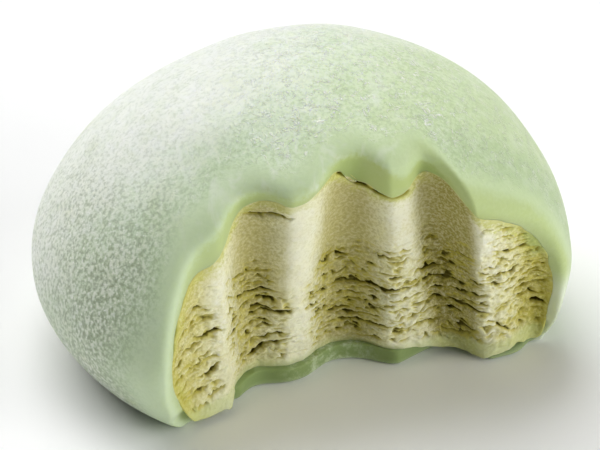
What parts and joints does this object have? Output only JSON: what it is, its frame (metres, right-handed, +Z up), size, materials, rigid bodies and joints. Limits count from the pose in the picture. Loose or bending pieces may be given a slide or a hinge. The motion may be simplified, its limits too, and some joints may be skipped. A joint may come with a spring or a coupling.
{
  "type": "bitten mochi ice cream",
  "caption": "Domed ball of green tea ice cream in a soft rice dough skin, bitten at the front so that scalloped tooth marks and the torn filling show. It rests on a flat base.",
  "frame": {"origin": "on the surface that the piece stands on, under the middle of the whole ball", "axes": "+Z up; the bite is at the front, towards -Y, and faces a little to +X; +X is to the right of someone looking at the bite"},
  "size_m": [0.045, 0.0411, 0.0263],
  "materials": {
    "mochi_skin": "soft, translucent rice dough dusted with starch",
    "ice_cream": "matt, fine-grained frozen cream, torn in its lower half"
  },
  "bodies": {
    "root": {"mochi_skin": "mochi_skin", "ice_cream": "ice_cream"}
  },
  "joints": []
}
